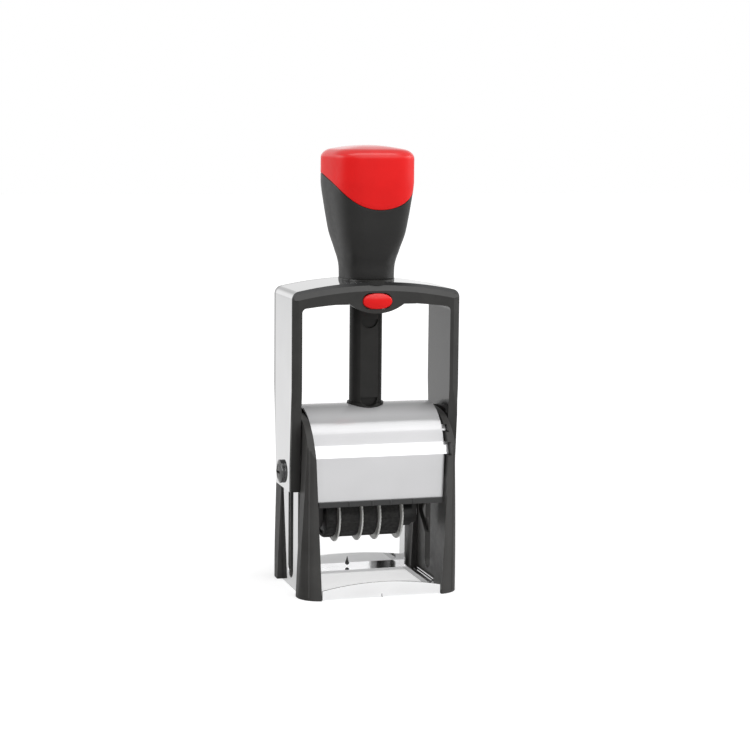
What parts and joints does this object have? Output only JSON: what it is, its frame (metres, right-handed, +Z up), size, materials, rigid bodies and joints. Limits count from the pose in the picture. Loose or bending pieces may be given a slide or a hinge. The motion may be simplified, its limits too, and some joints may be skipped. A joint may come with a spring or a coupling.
{
  "type": "self inking stamp",
  "caption": "Self-inking hand dater: a sprung handle and yoke slide down a column and turn a die carriage with setting wheels from the ink pad to the base window.",
  "frame": {"origin": "middle of the footprint, on the surface the feet stand on", "axes": "+X to the right across the stamp, +Y to the rear, +Z up along the handle"},
  "size_m": [0.0788, 0.0584, 0.1922],
  "materials": {
    "satin_black": "satin",
    "dark_plastic": "satin",
    "red_gloss": "gloss",
    "chrome": "polished",
    "steel": "brushed",
    "dark_steel": "blackened",
    "wheel_plastic": "satin",
    "rubber": "matt",
    "felt": "inked felt"
  },
  "bodies": {
    "base": {"chassis": "chrome", "left_side_frame": "satin_black", "right_side_frame": "satin_black", "top_cover": "chrome", "pad_housing": "dark_plastic", "guide_column": "dark_plastic", "return_spring": "steel"},
    "yoke": {"yoke_strip": "chrome", "yoke_bezel": "satin_black", "yoke_core": "dark_plastic", "handle_collar": "dark_plastic", "handle_grip": "satin_black", "handle_cap": "red_gloss", "handle_screws": "steel", "left_pivot_screw": "dark_steel", "right_pivot_screw": "dark_steel", "pivot_bushes": "dark_plastic", "button_spring": "steel"},
    "lock_button": {"lock_button": "red_gloss"},
    "ink_pad": {"ink_pad_tray": "satin_black", "ink_pad_felt": "felt"},
    "carriage": {"die_carriage": "satin_black", "die_plate": "steel", "text_die": "rubber", "band_bridge": "dark_plastic", "date_band_1": "rubber", "date_band_2": "rubber", "date_band_3": "rubber", "date_band_4": "rubber", "wheel_axle": "steel", "axle_spacer": "dark_plastic", "axle_clips": "steel", "cam_pins": "steel"},
    "date_wheel_1": {"date_wheel_1": "wheel_plastic"},
    "date_wheel_2": {"date_wheel_2": "wheel_plastic"},
    "date_wheel_3": {"date_wheel_3": "wheel_plastic"},
    "date_wheel_4": {"date_wheel_4": "wheel_plastic"}
  },
  "joints": [
    {"name": "press", "type": "slide", "parent": "base", "child": "yoke", "axis": [0, 0, -1], "range_m": [0, 0.043], "stiffness_N_per_m": 500, "springref_m": -0.02, "deforming": ["return_spring"]},
    {"name": "turn_over", "type": "hinge", "parent": "yoke", "child": "carriage", "pos_m": [0, 0, 0.0515], "axis": [1, 0, 0], "range_deg": [0, 180]},
    {"name": "pad_slide", "type": "slide", "parent": "base", "child": "ink_pad", "axis": [0, 1, 0], "range_m": [0, 0.045]},
    {"name": "button_push", "type": "slide", "parent": "yoke", "child": "lock_button", "axis": [0, 1, 0], "range_m": [0, 0.0016], "stiffness_N_per_m": 800, "springref_m": -0.001, "deforming": ["button_spring"]},
    {"name": "wheel_spin_1", "type": "hinge", "parent": "carriage", "child": "date_wheel_1", "pos_m": [0, 0, 0.0314], "axis": [1, 0, 0], "continuous": true},
    {"name": "wheel_spin_2", "type": "hinge", "parent": "carriage", "child": "date_wheel_2", "pos_m": [0, 0, 0.0314], "axis": [1, 0, 0], "continuous": true},
    {"name": "wheel_spin_3", "type": "hinge", "parent": "carriage", "child": "date_wheel_3", "pos_m": [0, 0, 0.0314], "axis": [1, 0, 0], "continuous": true},
    {"name": "wheel_spin_4", "type": "hinge", "parent": "carriage", "child": "date_wheel_4", "pos_m": [0, 0, 0.0314], "axis": [1, 0, 0], "continuous": true}
  ],
  "couplings": [
    {"joint": "turn_over", "follows": "press", "rad_per_m": 73.06}
  ]
}
